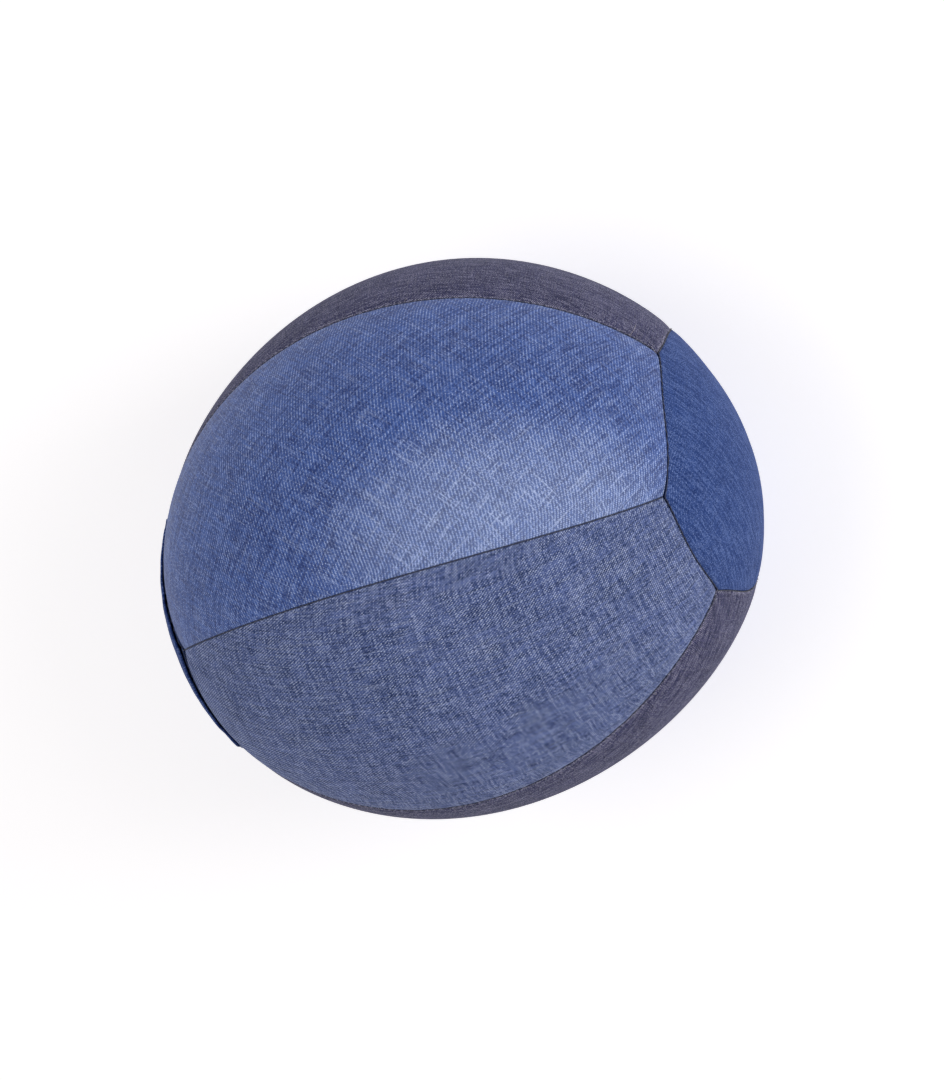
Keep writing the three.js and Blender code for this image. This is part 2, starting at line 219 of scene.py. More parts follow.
def ripple(length, seed, waves=5):
    """A smooth uneven wave of unit size along a length in millimetres: a few sines at random."""
    draw = np.random.default_rng(seed)
    total = 0
    for _ in range(waves):
        total = total + np.sin(2 * math.pi * length / draw.uniform(5, 17) + draw.uniform(0, 7))
    return total / math.sqrt(waves)


# Beside a seam, as depths and reaches.
SEAM_VALLEY = (0.55, 2.6)
WIDE_VALLEY = (0.35, 9.0)
PUCKER = (0.05, 3.0)


def fading(dip, distance):
    """A dip's depth at a distance, fading over its reach."""
    depth, reach = dip
    return depth * np.exp(-distance / reach)


def seam_dip(inset, along, seed):
    """How far the cloth is drawn down beside a seam: a soft valley, puckered by the stitches."""
    valley = fading(SEAM_VALLEY, inset) + fading(WIDE_VALLEY, inset)
    return valley + fading(PUCKER, inset) * ripple(along, seed)


# The rounded edge and the turned-in allowance, as ways in from the edge and depths.
ROLL = 0.5
ROLL_TURNS = np.linspace(0, math.pi / 2, 7)
FOLD_CHAMFER = 0.3
EDGE_IN = np.concatenate([
    ROLL * (1 - np.sin(ROLL_TURNS)),
    [0, FOLD_CHAMFER, ALLOWANCE, ALLOWANCE, CLOTH, CLOTH],
])
EDGE_DEPTH = np.concatenate([
    ROLL * (1 - np.cos(ROLL_TURNS)),
    [ALLOWANCE_DEPTH - FOLD_CHAMFER, ALLOWANCE_DEPTH, ALLOWANCE_DEPTH],
    [CLOTH + FOLD_GAP, CLOTH + FOLD_GAP, CLOTH],
])


def mesh_piece(name, points, faces, uv=None, attribute=None):
    """A smooth mesh in metres from points in millimetres. uv is one pair and attribute one
    number for each point."""
    mesh = bpy.data.meshes.new(name)
    mesh.vertices.add(len(points))
    mesh.vertices.foreach_set("co", (points * MM).astype(np.float32).ravel())
    mesh.loops.add(faces.size)
    mesh.loops.foreach_set("vertex_index", faces.astype(np.int32).ravel())
    mesh.polygons.add(len(faces))
    starts = np.arange(0, faces.size, faces.shape[1], dtype=np.int32)
    mesh.polygons.foreach_set("loop_start", starts)
    mesh.update(calc_edges=True)
    if uv is not None:
        layer = mesh.uv_layers.new(name="cloth")
        layer.data.foreach_set("uv", uv[faces.ravel()].astype(np.float32).ravel())
    if attribute is not None:
        slot = mesh.attributes.new("from_seam", "FLOAT", "POINT")
        slot.data.foreach_set("value", attribute.astype(np.float32))
    mesh.validate()
    mesh.polygons.foreach_set("use_smooth", np.ones(len(mesh.polygons), bool))
    piece = bpy.data.objects.new(name, mesh)
    bpy.context.scene.collection.objects.link(piece)
    return piece


def grid_faces(rows, columns, wrap_rows, wrap_columns):
    """Quads between neighbours of a grid whose points are numbered row by row."""
    i = np.arange(rows - (0 if wrap_rows else 1))[:, None]
    j = np.arange(columns - (0 if wrap_columns else 1))[None, :]
    next_row, next_column = (i + 1) % rows, (j + 1) % columns
    quads = np.stack([i * columns + j, next_row * columns + j,
                      next_row * columns + next_column, i * columns + next_column], -1)
    return quads.reshape(-1, 4)


def outward(piece):
    """Merges doubled points, closes open ends and turns every face outwards."""
    shape = bmesh.new()
    shape.from_mesh(piece.data)
    bmesh.ops.remove_doubles(shape, verts=shape.verts, dist=1e-7)
    bmesh.ops.holes_fill(shape, edges=[edge for edge in shape.edges if edge.is_boundary])
    bmesh.ops.recalc_face_normals(shape, faces=shape.faces)
    shape.to_mesh(piece.data)
    shape.free()
    return piece


# Denim. The warp runs along the grain and is dyed, the weft is nearly white and shows where it
# passes over: one crossing in each repeat, stepping by one yarn from row to row.


class Field:
    """A shader value with arithmetic: each operator adds one Math node."""

    def __init__(self, cloth, socket):
        self.cloth, self.socket = cloth, socket

    def _math(self, operation, *others):
        return self.cloth.node("ShaderNodeMath", {"operation": operation}, [self, *others])

    def __add__(self, other):
        return self._math("ADD", other)

    def __sub__(self, other):
        return self._math("SUBTRACT", other)

    def __rsub__(self, other):
        return self.cloth.node("ShaderNodeMath", {"operation": "SUBTRACT"}, [other, self])

    def __mul__(self, other):
        return self._math("MULTIPLY", other)

    def __truediv__(self, other):
        return self._math("DIVIDE", other)

    __radd__, __rmul__ = __add__, __mul__

    def whole(self):
        return self._math("FLOOR")

    def part(self):
        return self._math("FRACT")

    def size(self):
        return self._math("ABSOLUTE")

    def less_than(self, other):
        return self._math("LESS_THAN", other)

    def rise(self, low, high):
        """0 below low, 1 above high, smooth between."""
        return self.cloth.node("ShaderNodeMapRange", {"interpolation_type": "SMOOTHSTEP"},
                               {"Value": self, "From Min": low, "From Max": high})


class Finish:
    """A material being made. node() adds any node and returns its first or named output."""

    def __init__(self, name):
        self.material = bpy.data.materials.new(name)
        self.material.use_nodes = True
        self.tree = self.material.node_tree
        self.shader = self.tree.nodes["Principled BSDF"]

    def node(self, kind, settings=None, inputs=(), output=0):
        made = self.tree.nodes.new(kind)
        for key, value in (settings or {}).items():
            setattr(made, key, value)
        pairs = inputs.items() if isinstance(inputs, dict) else enumerate(inputs)
        for key, value in pairs:
            self.plug(made.inputs[key], value)
        return Field(self, made.outputs[output])

    def plug(self, socket, value):
        if isinstance(value, Field):
            self.tree.links.new(value.socket, socket)
        elif isinstance(value, tuple) and len(value) == 3 and socket.type == "RGBA":
            socket.default_value = (*value, 1)
        else:
            socket.default_value = value

    def mix(self, share, first, second):
        made = self.tree.nodes.new("ShaderNodeMix")
        made.data_type = "RGBA"
        for number, value in ((0, share), (6, first), (7, second)):
            self.plug(made.inputs[number], value)
        return Field(self, made.outputs[2])

    def vector(self, x, y, z=0.0):
        return self.node("ShaderNodeCombineXYZ", None, [x, y, z])

    def noise(self, x, y, detail=2.0, rough=0.5, z=0.0):
        return self.node("ShaderNodeTexNoise", {"noise_dimensions": "3D"},
                         {"Vector": self.vector(x, y, z), "Scale": 1.0, "Detail": detail,
                          "Roughness": rough}, "Fac")

    def set(self, **values):
        for key, value in values.items():
            self.plug(self.shader.inputs[key.replace("_", " ")], value)


# The sizes of the cloth's unevenness in millimetres.
SLUB_WIDTH = 0.75
THICK_YARN = 0.60
WAVER_SIZE = 17.0
CLOUD_SIZE = 34.0
# Where a thick yarn begins and ends in its noise.
THICK_RISE = (0.60, 0.80)


def denim(name, dark, light, weft, grain, warp_yarn, weft_yarn, repeat, lean=1, slub=0.5,
          cross_slub=0.35, fleck=0.5, rough=0.7, gloss=0.3, fuzz=0.25, worn_seam=0.2, fade_and_highlight=None):
    """dark and light are the dyed warp, weft the pale cross yarn; grain is the warp's turn from the
    piece's length in degrees; the yarns are widths in millimetres; repeat is the twill's, and
    lean the way that its lines slope. The last argument is a paler patch, partly wear and partly
    a painted sheen highlight: its middle and half sizes."""
    finish = Finish(name)
    uv = finish.node("ShaderNodeUVMap", {"uv_map": "cloth"})
    split = finish.tree.nodes.new("ShaderNodeSeparateXYZ")
    finish.tree.links.new(uv.socket, split.inputs[0])
    u, v = Field(finish, split.outputs[0]), Field(finish, split.outputs[1])
    c, s = math.cos(math.radians(grain)), math.sin(math.radians(grain))
    along = u * c + v * s
    across = v * c - u * s
    waver = finish.noise(u / WAVER_SIZE, v / WAVER_SIZE, 1.0) - 0.5
    along_w, across_w = along + waver * 1.0, across + waver * 0.7
    warp_cell, weft_cell = across_w / warp_yarn, along_w / weft_yarn
    # The pale weft passes over one warp in each repeat.
    place = ((warp_cell.whole() + weft_cell.whole() * lean) / repeat).part()
    over = place.less_than(0.9 / repeat)
    warp_dome = 1 - (warp_cell.part() - 0.5).size() * 1.4
    dome = warp_dome * (1 - (weft_cell.part() - 0.5).size() * 1.1)
    weft_shows = over * dome
    # Every crossing is a little different, as the yarns are fuzzy and unevenly dyed.
    crossing = finish.node("ShaderNodeTexWhiteNoise", {"noise_dimensions": "2D"},
                           {"Vector": finish.vector(warp_cell.whole(), weft_cell.whole())}, "Value")
    # Yarns are uneven: each warp and each weft is darker or lighter for a few millimetres.
    warp_slub = finish.noise(across_w / SLUB_WIDTH, along_w / 11.0, 1.0, 0.6)
    weft_slub = finish.noise(along_w / SLUB_WIDTH, across_w / 8.0, 1.0, 0.6, 7.3)
    long_slub = finish.noise(across_w / 1.6, along_w / 26.0, 1.0, 0.5, 3.1)
    cross_long = finish.noise(along_w / 1.7, across_w / 22.0, 1.0, 0.5, 5.7)
    streak = ((warp_slub - 0.5) * (1.9 * slub) + (weft_slub - 0.5) * (1.9 * cross_slub)
              + (long_slub - 0.5) * (0.9 * slub) + (cross_long - 0.5) * (0.9 * cross_slub))
    cloud = finish.noise(u / CLOUD_SIZE, v / CLOUD_SIZE, 2.0, 0.5, 1.9) - 0.5
    shade = streak + cloud * 0.28 + (crossing - 0.5) * 0.45 + 0.5
    dyed = finish.mix(shade.rise(0.0, 1.0), dark, light)
    # A few yarns are spun thick and pale, and run on for some centimetres.
    thick_warp = finish.noise(across_w / THICK_YARN, along_w / 22.0, 0.0, 0.5, 11.0)
    thick_weft = finish.noise(along_w / THICK_YARN, across_w / 17.0, 0.0, 0.5, 13.0)
    thick_warp, thick_weft = thick_warp.rise(*THICK_RISE), thick_weft.rise(*THICK_RISE)
    thick = (thick_warp * slub + thick_weft * cross_slub) * (0.25 + 0.5 * crossing)
    stray = crossing.rise(0.86, 0.97) * dome * (0.35 * fleck)
    bleached = fleck * (weft_slub.rise(0.35, 0.7) * 1.1 + 0.25) * (crossing * 1.3 + 0.35)
    pale = weft_shows * bleached + stray + thick * 0.55
    # A paler patch where the weft shows white beside the seam: partly wear, partly a painted sheen
    # highlight.
    if fade_and_highlight:
        middle_u, middle_v, half_u, half_v = fade_and_highlight
        far_u, far_v = (u - middle_u) / half_u, (v - middle_v) / half_v
        beyond_fade_and_highlight = (far_u * far_u + far_v * far_v).rise(0.0, 1.3)
        fade_and_highlight_share = (1 - beyond_fade_and_highlight) * (1 - beyond_fade_and_highlight)
        dyed = finish.mix(fade_and_highlight_share * 0.21, dyed, weft)
        pale = pale * (1 + fade_and_highlight_share * 2.6)
    seam = finish.node("ShaderNodeAttribute", {"attribute_name": "from_seam"}, (), "Fac")
    rub = (1 - seam.rise(0.7, 2.0)) * crossing.rise(0.35, 0.7) * (over * 0.6 + 0.4) * worn_seam
    # Painted shade: the cloth turns dark where it rolls down into a seam's groove.
    groove_painted_shade = 1 - seam.rise(-0.35, 0.55)
    woven = finish.mix(pale + rub, dyed, weft)
    colour = finish.mix(groove_painted_shade * 0.82, woven, tuple(0.35 * part for part in dark))
    ridge = (1 - (warp_cell.part() - 0.5).size() * 2.0) * 0.5 + streak * 0.5 - over * 0.35
    bump = finish.node("ShaderNodeBump", None,
                       {"Strength": 0.4, "Distance": 0.0002, "Height": ridge})
    finish.set(Base_Color=colour, Roughness=rough + streak * 0.12, Normal=bump,
               Specular_IOR_Level=gloss, Sheen_Weight=fuzz, Sheen_Roughness=0.45,
               Sheen_Tint=(0.72, 0.74, 0.9))
    return finish.material


# The blue's paler patch beside its seam is partly wear, partly a painted sheen highlight.
BLUE = denim("denim_blue", (0.006, 0.028, 0.165), (0.056, 0.128, 0.430), (0.46, 0.56, 0.86), 48.0,
             0.41, 0.50, 4, lean=-1, slub=0.56, cross_slub=0.54, fleck=0.95, rough=0.62, gloss=0.4,
             fuzz=0.04, fade_and_highlight=(-66.0, -54.0, 92.0, 52.0))
GREY_BLUE = denim("denim_grey_blue", (0.012, 0.028, 0.105), (0.112, 0.160, 0.395),
                  (0.54, 0.61, 0.82), 3.0, 0.336, 0.58, 3, slub=0.55, cross_slub=0.20, fleck=1.05,
                  rough=0.85, gloss=0.15, fuzz=0.05)
CHARCOAL = denim("denim_charcoal", (0.007, 0.008, 0.040), (0.052, 0.055, 0.150), (0.46, 0.45, 0.58),
                 86.0, 0.34, 0.46, 3, slub=0.30, cross_slub=0.3, fleck=1.0, rough=0.9, gloss=0.12,
                 fuzz=0.06, worn_seam=0.6)

PANELS = [
    ("panel_right", CHARCOAL, "denim_charcoal"),
    ("panel_upper_right", GREY_BLUE, "denim_grey_blue"),
    ("panel_upper_left", BLUE, "denim_blue"),
    ("panel_left", CHARCOAL, "denim_charcoal"),
    ("panel_lower_left", GREY_BLUE, "denim_grey_blue"),
    ("panel_lower_right", BLUE, "denim_blue"),
]
STATIONS = 230
END_RINGS = 5                   # more stations that round each end down into its seam
ACROSS = 64
PANEL_LENGTH = 262.0


def long_panel(index, name):
    """A panel's section is one closed loop: the outer face from edge to edge, the rolled edge and
    allowance at one side, the inner face back, and the other allowance. It is carried from the
    plain end to the slit end, and sinks into the end seams at both."""
    turns = np.linspace(math.pi / 2, 0, END_RINGS + 1)[:END_RINGS]
    ends, held = ROLL * (1 - np.cos(turns)), ROLL * (1 - np.sin(turns))
    way = np.concatenate([np.zeros(END_RINGS), np.linspace(0, 1, STATIONS), np.ones(END_RINGS)])
    sunk = np.concatenate([ends, np.zeros(STATIONS), ends[::-1]])
    trim = END_SEAM_GAP / 2 + np.concatenate([held, np.full(STATIONS, ROLL), held[::-1]])
    way, sunk, trim = way[:, None], sunk[:, None], trim[:, None]
    low, high = seam_angle(index, way), seam_angle(index + 1, way)
    if index == SEAMS - 1:
        high = seam_angle(0, way) + 2 * math.pi
    middle, half = (low + high) / 2, (high - low) / 2
    last = math.pi - end_parameter(-1, middle)
    parameter = end_parameter(1, middle) * (1 - way) + last * way
    radius = EQUATOR * np.sin(parameter)
    width = half * radius - SEAM_GAP / 2
    spread = np.linspace(-1, 1, ACROSS)[None, :] * (width - ROLL)
    back = np.linspace(1, -1, ACROSS // 4)[None, :] * (width - ALLOWANCE)
    one = np.ones_like(way)
    v = np.concatenate([spread, width - EDGE_IN[None, 1:] * one, back,
                        -(width - EDGE_IN[None, :0:-1] * one)], 1)
    depth = np.concatenate([0 * spread, EDGE_DEPTH[None, 1:] * one, 0 * back + CLOTH,
                            EDGE_DEPTH[None, :0:-1] * one], 1)
    along = (way - 0.5) * PANEL_LENGTH
    inset = width - np.abs(v)
    from_end = (0.5 - np.abs(way - 0.5)) * PANEL_LENGTH
    dip = seam_dip(inset, along, 10 + index + (0 if index % 2 else 3))
    dip = dip + seam_dip(from_end + 0 * v, v, 40 + index)
    points = panel_point(way, middle + v / radius, np.maximum(depth, sunk) + dip, trim)
    seam = np.minimum(inset, from_end + trim - END_SEAM_GAP / 2) - np.maximum(depth, sunk)
    faces = grid_faces(*v.shape, False, True)
    uv = np.stack([along + 0 * v, v], -1)
    piece = mesh_piece(name, points.reshape(-1, 3), faces, uv.reshape(-1, 2), seam.ravel())
    cut_half = width[END_RINGS:-END_RINGS] + ALLOWANCE
    area = 2 * float(np.mean(cut_half)) * (PANEL_LENGTH + 2 * ALLOWANCE)
    return outward(piece), area * MM * MM, 2 * float(width.max() + ALLOWANCE) * MM


for index, (node, finish, slot) in enumerate(PANELS):
    panel, area, width = long_panel(index, node + "_cloth")
    panel.data.materials.append(finish)
    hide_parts(node)
    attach(panel, "ball")

# ---------------------------------------------------------------------------------------------
# The two ends: hexagons of a deeper blue, finer twill, cut with bowed sides and sewn in last.
# Air pressure crowns them. The one at -X is two halves whose hemmed lips meet in a slit.

DEEP_BLUE = denim("denim_deep_blue", (0.005, 0.021, 0.115), (0.034, 0.078, 0.280),
                  (0.24, 0.34, 0.66), 52.0, 0.30, 0.36, 3, slub=0.22, cross_slub=0.22, fleck=1.0,
                  rough=0.85, gloss=0.12, fuzz=0.03, worn_seam=0.05)
END_ROUND = 240
FACE_RINGS = 44
LIP_GAP = 0.3
LIP_DIP = (0.45, 0.8)           # a depth and a reach, as beside a seam
HEM = 10.0
HEM_DIP, HEM_STITCH = 0.3, 0.9
LIP_FROM_SEAM = 0.4             # keeps the seams' painted shade off the lips, as light as cloth a little off a seam


def end_point(side, radius, angle, depth):
    """The crown rises as the square of the way from its edge to the axis."""
    edge = end_radius(side, angle)
    edge_reach = REACH * np.cos(np.arcsin(edge / EQUATOR))
    reach = END_REACH[side] - (END_REACH[side] - edge_reach) * (radius / edge) ** 2
    return sink(side * reach, radius, angle, depth)


def end_shell(side, name, start=0.0, stop=2 * math.pi):
    """From the axis out over the face, round the rolled edge, in along the allowance and back.
    Part of a round is half an end: its straight side is the slit's lip, with its own faces."""
    half = stop - start < 2 * math.pi
    angle = np.linspace(start, stop, END_ROUND)[:, None]
    edge = end_radius(side, angle) - END_SEAM_GAP / 2
    shares = np.linspace(0, 1, FACE_RINGS)[None, :]
    one = np.ones_like(angle)
    face = shares * (edge - ROLL)
    back = shares[:, ::-1] * (edge - ALLOWANCE)
    radius = np.concatenate([face, edge - EDGE_IN[None, 1:] * one, back], 1)
    depth = np.concatenate([0 * face, EDGE_DEPTH[None, 1:] * one, CLOTH + 0 * face], 1)
    inset = edge - radius
    dip = seam_dip(inset, edge * angle, 60 + side)
    from_lip = np.abs(radius * np.cos(angle))
    if half:
        # The lip is folded under: a round edge, and a stitched line where the hem ends.
        outer = depth < ROLL
        dip = dip + fading(LIP_DIP, from_lip) * outer
        dip = dip + HEM_DIP * np.exp(-((from_lip - HEM) / HEM_STITCH) ** 2) * outer
    points = end_point(side, radius, angle, depth + dip)
    seam = inset - depth
    if half:
        away = -np.sign(math.cos((start + stop) / 2))
        points[..., 1] += away * LIP_GAP / 2
        seam = np.minimum(seam, from_lip + LIP_FROM_SEAM)
    uv = np.stack([radius * np.cos(angle), radius * np.sin(angle)], -1)
    faces = grid_faces(*radius.shape, False, False)
    if half:
        columns = radius.shape[1]
        j = np.arange(FACE_RINGS - 1)
        for row in (0, END_ROUND - 1):
            first, last = row * columns, (row + 1) * columns - 1
            lip = np.stack([first + j, first + j + 1, last - 1 - j, last - j], -1)
            faces = np.concatenate([faces, lip])
    piece = mesh_piece(name, points.reshape(-1, 3), faces, uv.reshape(-1, 2), seam.ravel())
    return outward(piece)


def hexagon_area(side):
    """The cut's area with its allowance all round."""
    angle = np.linspace(0, 2 * math.pi, END_ROUND)
    return float(np.mean((end_radius(side, angle) + ALLOWANCE) ** 2) * math.pi) * MM * MM


def end_sheet(side, share=1.0):
    """Works out the cut area of an end, or of a share of one, with its allowance; it is not kept.
    """
    area = hexagon_area(side) * share


end_cloth = end_shell(1, "end_cap_cloth")
end_cloth.data.materials.append(DEEP_BLUE)
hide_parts("end_cap")
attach(end_cloth, "ball")
end_sheet(1)

for node, turn in (("slit_end_left", 0.0), ("slit_end_right", math.pi)):
    half = end_shell(-1, node + "_cloth", turn + math.pi / 2, turn + 3 * math.pi / 2)
    half.data.materials.append(DEEP_BLUE)
    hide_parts(node)
    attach(half, "ball")
    end_sheet(-1, 0.5)

# ---------------------------------------------------------------------------------------------
# The flap: a second hexagon sewn down along its -Y side over the slit. Its rim lies close to the
# end, and its middle is lifted by the hook and loop tapes under it.

TAPE = 0.7
TAPE_GAP = 0.25
FLAP_INSET = 1.0
FLAP_RIM_GAP = 0.2
FLAP_LIFT = 2 * TAPE + 4 * TAPE_GAP
FLAP_FLATNESS = 6               # the power by which the lift falls off towards the rim
FLAP_ROLL = 0.5 * CLOTH
FLAP_RINGS = 60
FLAP_WAVE = (0.12, 6.0)         # a height and a reach
FLAP_FROM_SEAM = 1.2            # its rim is no seam, and stays as light as its face, free of the seams' painted shade


def flap_rise(share):
    """The flap's inner face above the end: full lift in the middle, down to the rim's gap."""
    return FLAP_RIM_GAP + (FLAP_LIFT - FLAP_RIM_GAP) * (1 - share**FLAP_FLATNESS)


def flap_sheet(name):
    """Outer face from the axis to a rounded rim, and the inner face back."""
    angle = np.linspace(0, 2 * math.pi, END_ROUND)[:, None]
    edge = end_radius(-1, angle) - FLAP_INSET
    shares = np.linspace(0, 1, FLAP_RINGS)[None, :]
    turns = np.linspace(0, math.pi, 9)[None, 1:-1]
    one = np.ones_like(angle)
    rim = FLAP_ROLL * np.sin(turns) * one
    rim_height = FLAP_RIM_GAP + FLAP_ROLL * (1 + np.cos(turns)) * one
    face = shares * (edge - FLAP_ROLL)
    radius = np.concatenate([face, edge - FLAP_ROLL + rim, face[:, ::-1]], 1)
    rise = flap_rise(shares) * one
    height = np.concatenate([rise + CLOTH, rim_height, rise[:, ::-1]], 1)
    height = height + fading(FLAP_WAVE, edge - radius) * ripple(edge * angle, 90)
    points = end_point(-1, radius, angle, -height)
    uv = np.stack([radius * np.cos(angle), radius * np.sin(angle)], -1)
    faces = grid_faces(*radius.shape, False, False)
    seam = edge - radius + FLAP_FROM_SEAM
    piece = mesh_piece(name, points.reshape(-1, 3), faces, uv.reshape(-1, 2), seam.ravel())
    return outward(piece)


flap = flap_sheet("flap_cloth")
flap.data.materials.append(DEEP_BLUE)
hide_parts("flap", "flap_sewn_strip")
fold_joint = next(joint for joint in frame["joints"] if joint["name"] == "flap_fold")
fold_x, fold_y, _ = fold_joint["pos_m"]
FOLD_SPAN = 0.004
fold_y - FOLD_SPAN / 2
fold_y + FOLD_SPAN / 2
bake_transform(flap)
end_sheet(-1)

# Hook tape on the flap and loop tape on the end: woven strips with a low pile.

TAPE_FROM_SLIT = 12.0
TAPE_WIDTH = 16.0
TAPE_LENGTH = 50.0


def tape(name, base):
    """A flat strip with square sides that follows the end at a height."""
    y = np.linspace(TAPE_FROM_SLIT, TAPE_FROM_SLIT + TAPE_WIDTH, 24)[:, None]
    z = np.linspace(-TAPE_LENGTH / 2, TAPE_LENGTH / 2, 60)[None, :]
    tops = []
    for height in (base, base + TAPE):
        radius, angle = np.hypot(y, z), np.arctan2(z, -y)
        tops.append(end_point(-1, radius, angle, -height + 0 * radius).reshape(-1, 3))
    count = y.size * z.size
    sheet_faces = grid_faces(y.size, z.size, False, False)
    rim = np.concatenate([np.arange(z.size), np.arange(1, y.size) * z.size + z.size - 1,
                          (y.size - 1) * z.size + np.arange(z.size - 2, -1, -1),
                          np.arange(y.size - 2, 0, -1) * z.size])
    after = np.roll(rim, -1)
    sides = np.stack([rim, after, after + count, rim + count], -1)
    faces = np.concatenate([sheet_faces, sheet_faces + count, sides])
    return outward(mesh_piece(name, np.concatenate(tops), faces))


def tape_finish():
    """Dark woven tape with a fine pile: small cells and a soft sheen."""
    finish = Finish("tape_weave")
    place = finish.node("ShaderNodeTexCoord", None, (), "Object")
    cells = finish.node("ShaderNodeTexVoronoi", None, {"Vector": place, "Scale": 1400.0},
                        "Distance")
    colour = finish.mix(cells.rise(0.1, 0.8), (0.012, 0.014, 0.028), (0.05, 0.055, 0.085))
    bump = finish.node("ShaderNodeBump", None,
                       {"Strength": 0.7, "Distance": 0.0004, "Height": cells})
    finish.set(Base_Color=colour, Roughness=0.8, Normal=bump, Sheen_Weight=0.3)
    return finish.material


TAPE_FINISH = tape_finish()
for node, base, body in (("loop_tape", TAPE_GAP, "ball"),
                         ("hook_tape", 2 * TAPE_GAP + TAPE, "flap")):
    strip = tape(node + "_woven", base)
    strip.data.materials.append(TAPE_FINISH)
    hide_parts(node)
    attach(strip, body)

# ---------------------------------------------------------------------------------------------
# Threads: polyester sewing thread in each seam's groove, and a few ends that were not snipped.

THREAD = 0.15
THREAD_SIDES = 6


def strand(name, centre, radius, closed=False):
    """A round tube of that radius along centre points; its section turns with the path."""
    ahead = np.roll(centre, -1, 0) - np.roll(centre, 1, 0)
    if not closed:
        ahead[0], ahead[-1] = centre[1] - centre[0], centre[-1] - centre[-2]
    ahead /= np.linalg.norm(ahead, axis=1)[:, None]
    out = centre / np.linalg.norm(centre, axis=1)[:, None]
    side = np.cross(ahead, out)
    side /= np.linalg.norm(side, axis=1)[:, None]
    up = np.cross(side, ahead)
    turn = np.linspace(0, 2 * math.pi, THREAD_SIDES, endpoint=False)[None, :, None]
    rings = centre[:, None] + radius * (np.cos(turn) * side[:, None] + np.sin(turn) * up[:, None])
    faces = grid_faces(len(centre), THREAD_SIDES, closed, True)
    return outward(mesh_piece(name, rings.reshape(-1, 3), faces))


def thread_finish(name, dark, light):
    """Twisted thread: fine light and dark turns along its length."""
    finish = Finish(name)
    place = finish.node("ShaderNodeTexCoord", None, (), "Object")
    twist = finish.node("ShaderNodeTexNoise", None, {"Vector": place, "Scale": 2600.0}, "Fac")
    colour = finish.mix(twist.rise(0.35, 0.65), dark, light)
    finish.set(Base_Color=colour, Roughness=0.6, Sheen_Weight=0.2)
    return finish.material


THREAD_FINISH = thread_finish("thread_dark", (0.010, 0.013, 0.030), (0.035, 0.045, 0.095))
LOOSE_FINISH = thread_finish("thread_pale", (0.20, 0.17, 0.17), (0.48, 0.44, 0.46))
STITCH = 2.8
STITCH_DEPTH, STITCH_RISE = 0.8, 0.3
SEAM_POINTS, ROUND_POINTS = 560, 600
THREAD_MARGIN = 0.008           # a long seam's thread stops short of the end seams by this share


def stitched_depth(along):
    """The thread rises between two stitches and dives at each."""
    return STITCH_DEPTH + STITCH_RISE * np.cos(2 * math.pi * along / STITCH)


for seam in range(SEAMS):
    way = np.linspace(THREAD_MARGIN, 1 - THREAD_MARGIN, SEAM_POINTS)
    line = panel_point(way, seam_angle(seam, way), stitched_depth(way * PANEL_LENGTH))
    thread = strand(f"long_seam_thread_{seam + 1}_sewn", line, THREAD)
    thread.data.materials.append(THREAD_FINISH)
    # The first CAD thread lies in the seam at 30 degrees, which is seam 1 here.
    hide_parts(f"long_seam_thread_{(seam - 1) % SEAMS + 1}")
    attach(thread, "ball")

for node, side in (("end_cap_thread", 1), ("slit_end_thread", -1)):
    angle = np.linspace(0, 2 * math.pi, ROUND_POINTS, endpoint=False)
    edge = end_radius(side, angle)
    line = end_point(side, edge, angle, stitched_depth(edge * angle))
    thread = strand(node + "_sewn", line, THREAD, closed=True)
    thread.data.materials.append(THREAD_FINISH)
    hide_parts(node)
    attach(thread, "ball")

LOOSE_ENDS = (
    # seam, way along it, length in millimetres, lean
    (3, 0.055, 5.0, 0.8),
    (3, 0.41, 3.5, -0.5),
    (1, 0.20, 3.0, 0.6),
    (4, 0.93, 4.0, -0.7),
)
LOOSE_CURL = 1.9
LOOSE_ROOT = 0.9                # how deep in the seam they start
LOOSE_THREAD = 0.09


def loose_end(name, seam, way, length, lean):
    """A thread end that stands out of the seam and curls over, a little past a quarter turn."""
    turn = np.linspace(0, LOOSE_CURL, 14)
    way = np.array([way])
    foot = panel_point(way, seam_angle(seam, way), np.array([LOOSE_ROOT]))[0]
    out = foot / np.linalg.norm(foot)
    side = np.cross(out, (1.0, 0.0, 0.0))
    side /= np.linalg.norm(side)
    bend = side * lean + np.array((1.0, 0.0, 0.0)) * (1 - abs(lean))
    rise, reach = np.sin(turn) * 0.55, (1 - np.cos(turn)) * 0.7
    centre = foot + length * (rise[:, None] * out + reach[:, None] * bend)
    return strand(name, centre, LOOSE_THREAD)


for number, (seam, way, length, lean) in enumerate(LOOSE_ENDS, 1):
    end = loose_end(f"loose_end_{number}", seam, way, length, lean)
    end.data.materials.append(LOOSE_FINISH)
    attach(end, "ball")

# ---------------------------------------------------------------------------------------------
# The balloon: thin latex blown up inside the cover, its neck knotted in a dimple at the slit.

LATEX_DEPTH = ALLOWANCE_DEPTH + 0.6
LATEX_WALL = 0.3
DIMPLE = (26.0, 20.0)           # radius and depth
NECK = (4.0, 10.0)              # radius and length


def latex_finish():
    """Pale latex with a soft gloss and faint mottling."""
    finish = Finish("latex_pale")
    place = finish.node("ShaderNodeTexCoord", None, (), "Object")
    mottle = finish.node("ShaderNodeTexNoise", None, {"Vector": place, "Scale": 60.0}, "Fac")
    colour = finish.mix(mottle, (0.42, 0.48, 0.56), (0.60, 0.64, 0.70))
    finish.set(Base_Color=colour, Roughness=0.35)
    return finish.material


LATEX = latex_finish()


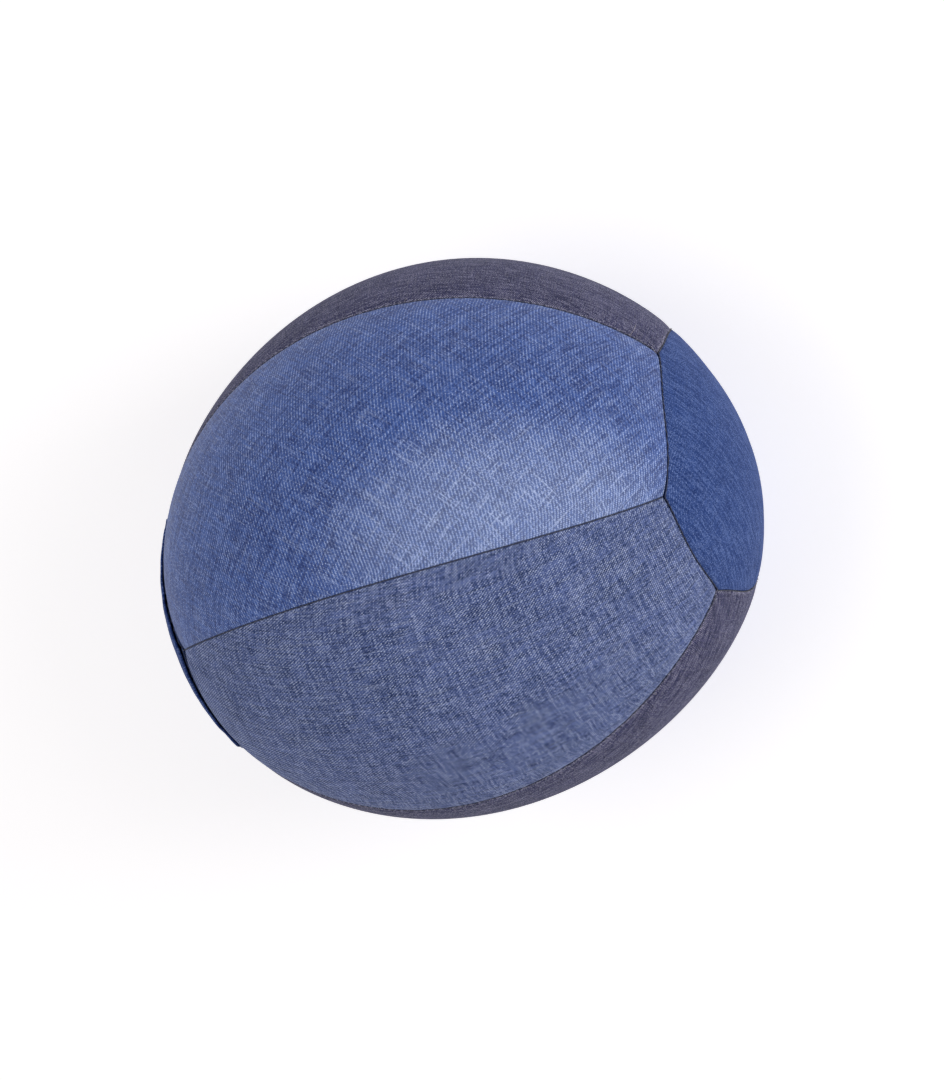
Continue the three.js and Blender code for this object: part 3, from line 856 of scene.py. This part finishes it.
def balloon_skin(name):
    """The cover's inside, from the plain end to the dimple and up the neck, then back inside."""
    angle = np.linspace(0, 2 * math.pi, 96, endpoint=False)[:, None]
    layers = []
    for below in (LATEX_DEPTH, LATEX_DEPTH + LATEX_WALL):
        rows = [end_point(1, share * end_radius(1, angle), angle, below)
                for share in np.linspace(0, 0.9, 9)]
        rows += [panel_point(way, angle, below) for way in np.linspace(0.01, 0.99, 44)]
        rows += [end_point(-1, share * end_radius(-1, angle), angle, below)
                 for share in (0.9, 0.7, 0.5)]
        layers.append(np.concatenate(rows, 1))
    floor = -(END_REACH[-1] - LATEX_DEPTH - DIMPLE[1])
    neck = [(floor - 0.35 * DIMPLE[1], 0.62 * DIMPLE[0]), (floor, 2 * NECK[0]),
            (floor - 2.2, NECK[0]), (floor - NECK[1], NECK[0])]
    tips = []
    for inner in (0.0, LATEX_WALL):
        rings = [lay_out(x + inner * (i < 2) + 0 * angle, -(r - inner * (i > 1)) * np.cos(angle),
                         (r - inner * (i > 1)) * np.sin(angle)) for i, (x, r) in enumerate(neck)]
        tips.append(np.concatenate(rings, 1))
    profile = np.concatenate([layers[0], tips[0], tips[1][:, ::-1], layers[1][:, ::-1]], 1)
    faces = grid_faces(*profile.shape[:2], True, False)
    return outward(mesh_piece(name, profile.reshape(-1, 3), faces))


skin = balloon_skin("balloon_latex")
skin.data.materials.append(LATEX)
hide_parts("balloon")
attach(skin, "ball")


KNOT_RADIUS = 6.4
KNOT_THICKNESS = 1.9
KNOT_BEND = 0.65                # how much of the axis's bend has been reached at the knot


def knot(name):
    """The neck tied round itself: a thick ring that winds once in and out as it goes round."""
    low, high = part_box("balloon_knot")
    middle = (low + high) / 2 / MM
    turn = np.linspace(0, 2 * math.pi, 72, endpoint=False)
    ring = KNOT_RADIUS + 0.25 * np.cos(3 * turn)
    shift_y, shift_z = BEND[0] * KNOT_BEND, BEND[1] * KNOT_BEND
    centre = np.stack([middle.x + 0.5 * np.sin(3 * turn), ring * np.cos(turn) + shift_y,
                       ring * np.sin(turn) + shift_z], -1)
    return strand(name, centre, KNOT_THICKNESS, closed=True)


tied = knot("balloon_knot_latex")
tied.data.materials.append(LATEX)
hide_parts("balloon_knot")
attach(tied, "ball")

# ---------------------------------------------------------------------------------------------
# The white table that the ball lies on.

bpy.context.view_layer.update()
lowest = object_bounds()[0][2]
TABLE = 3.0
TABLE_GAP = 0.0002
TABLE_GLOW = 0.42
table_mesh = bpy.data.meshes.new("table")
corners = [(x * TABLE, y * TABLE, lowest - TABLE_GAP)
           for x, y in ((-1, -1), (1, -1), (1, 1), (-1, 1))]
table_mesh.from_pydata(corners, [], [(0, 1, 2, 3)])
table = bpy.data.objects.new("table", table_mesh)
bpy.context.scene.collection.objects.link(table)
paper = Finish("white_paper")
paper.set(Base_Color=(0.93, 0.925, 0.93), Roughness=0.9, Specular_IOR_Level=0.1,
          Emission_Color=(1.0, 0.98, 0.985), Emission_Strength=TABLE_GLOW)
table_mesh.materials.append(paper.material)
